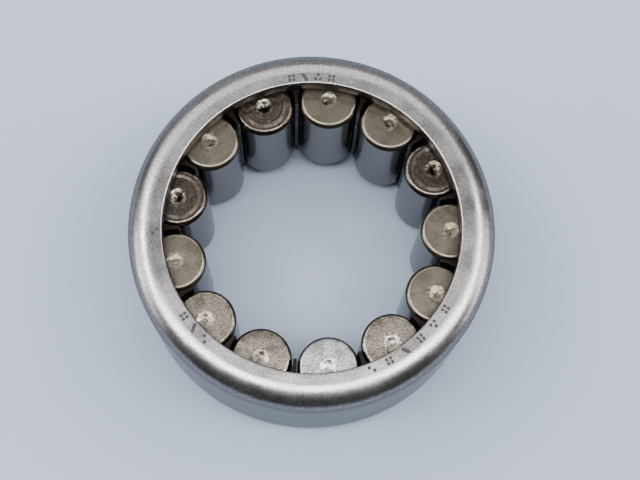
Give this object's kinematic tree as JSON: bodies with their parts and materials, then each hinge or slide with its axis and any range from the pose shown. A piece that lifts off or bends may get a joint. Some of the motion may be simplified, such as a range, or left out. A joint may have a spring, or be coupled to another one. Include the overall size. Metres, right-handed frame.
{
  "type": "needle roller bearing",
  "caption": "Caged roller bearing with no inner ring: a thick drawn steel cup with a turned-in lip at each end round one row of short rollers.",
  "frame": {"origin": "on the bearing's axis, at the lower lip's outer face, which it rests on", "axes": "+Z along the bearing's axis, +X through the first roller"},
  "size_m": [0.0572, 0.0572, 0.0267],
  "materials": {
    "drawn_steel": "satin, hardened and tumbled",
    "cage_steel": "dark, oiled",
    "roller_steel": "ground, with polished sides"
  },
  "bodies": {
    "cup": {"outer_cup": "drawn_steel"},
    "cage": {"cage": "cage_steel"},
    "roller_01": {"roller_01": "roller_steel"},
    "roller_02": {"roller_02": "roller_steel"},
    "roller_03": {"roller_03": "roller_steel"},
    "roller_04": {"roller_04": "roller_steel"},
    "roller_05": {"roller_05": "roller_steel"},
    "roller_06": {"roller_06": "roller_steel"},
    "roller_07": {"roller_07": "roller_steel"},
    "roller_08": {"roller_08": "roller_steel"},
    "roller_09": {"roller_09": "roller_steel"},
    "roller_10": {"roller_10": "roller_steel"},
    "roller_11": {"roller_11": "roller_steel"},
    "roller_12": {"roller_12": "roller_steel"},
    "roller_13": {"roller_13": "roller_steel"}
  },
  "joints": [
    {"name": "cage_orbit", "type": "hinge", "parent": "cup", "child": "cage", "pos_m": [0, 0, 0.01333], "axis": [0, 0, 1], "continuous": true},
    {"name": "roller_01_spin", "type": "hinge", "parent": "cage", "child": "roller_01", "pos_m": [0.02176, 0, 0.01333], "axis": [0, 0, 1], "continuous": true},
    {"name": "roller_02_spin", "type": "hinge", "parent": "cage", "child": "roller_02", "pos_m": [0.01927, 0.01011, 0.01333], "axis": [0, 0, 1], "continuous": true},
    {"name": "roller_03_spin", "type": "hinge", "parent": "cage", "child": "roller_03", "pos_m": [0.01236, 0.01791, 0.01333], "axis": [0, 0, 1], "continuous": true},
    {"name": "roller_04_spin", "type": "hinge", "parent": "cage", "child": "roller_04", "pos_m": [0.00262, 0.0216, 0.01333], "axis": [0, 0, 1], "continuous": true},
    {"name": "roller_05_spin", "type": "hinge", "parent": "cage", "child": "roller_05", "pos_m": [-0.00772, 0.02035, 0.01333], "axis": [0, 0, 1], "continuous": true},
    {"name": "roller_06_spin", "type": "hinge", "parent": "cage", "child": "roller_06", "pos_m": [-0.01629, 0.01443, 0.01333], "axis": [0, 0, 1], "continuous": true},
    {"name": "roller_07_spin", "type": "hinge", "parent": "cage", "child": "roller_07", "pos_m": [-0.02113, 0.00521, 0.01333], "axis": [0, 0, 1], "continuous": true},
    {"name": "roller_08_spin", "type": "hinge", "parent": "cage", "child": "roller_08", "pos_m": [-0.02113, -0.00521, 0.01333], "axis": [0, 0, 1], "continuous": true},
    {"name": "roller_09_spin", "type": "hinge", "parent": "cage", "child": "roller_09", "pos_m": [-0.01629, -0.01443, 0.01333], "axis": [0, 0, 1], "continuous": true},
    {"name": "roller_10_spin", "type": "hinge", "parent": "cage", "child": "roller_10", "pos_m": [-0.00772, -0.02035, 0.01333], "axis": [0, 0, 1], "continuous": true},
    {"name": "roller_11_spin", "type": "hinge", "parent": "cage", "child": "roller_11", "pos_m": [0.00262, -0.0216, 0.01333], "axis": [0, 0, 1], "continuous": true},
    {"name": "roller_12_spin", "type": "hinge", "parent": "cage", "child": "roller_12", "pos_m": [0.01236, -0.01791, 0.01333], "axis": [0, 0, 1], "continuous": true},
    {"name": "roller_13_spin", "type": "hinge", "parent": "cage", "child": "roller_13", "pos_m": [0.01927, -0.01011, 0.01333], "axis": [0, 0, 1], "continuous": true}
  ],
  "couplings": [
    {"joint": "roller_01_spin", "follows": "cage_orbit", "ratio": -5.5801},
    {"joint": "roller_02_spin", "follows": "cage_orbit", "ratio": -5.5801},
    {"joint": "roller_03_spin", "follows": "cage_orbit", "ratio": -5.5801},
    {"joint": "roller_04_spin", "follows": "cage_orbit", "ratio": -5.5801},
    {"joint": "roller_05_spin", "follows": "cage_orbit", "ratio": -5.5801},
    {"joint": "roller_06_spin", "follows": "cage_orbit", "ratio": -5.5801},
    {"joint": "roller_07_spin", "follows": "cage_orbit", "ratio": -5.5801},
    {"joint": "roller_08_spin", "follows": "cage_orbit", "ratio": -5.5801},
    {"joint": "roller_09_spin", "follows": "cage_orbit", "ratio": -5.5801},
    {"joint": "roller_10_spin", "follows": "cage_orbit", "ratio": -5.5801},
    {"joint": "roller_11_spin", "follows": "cage_orbit", "ratio": -5.5801},
    {"joint": "roller_12_spin", "follows": "cage_orbit", "ratio": -5.5801},
    {"joint": "roller_13_spin", "follows": "cage_orbit", "ratio": -5.5801}
  ]
}
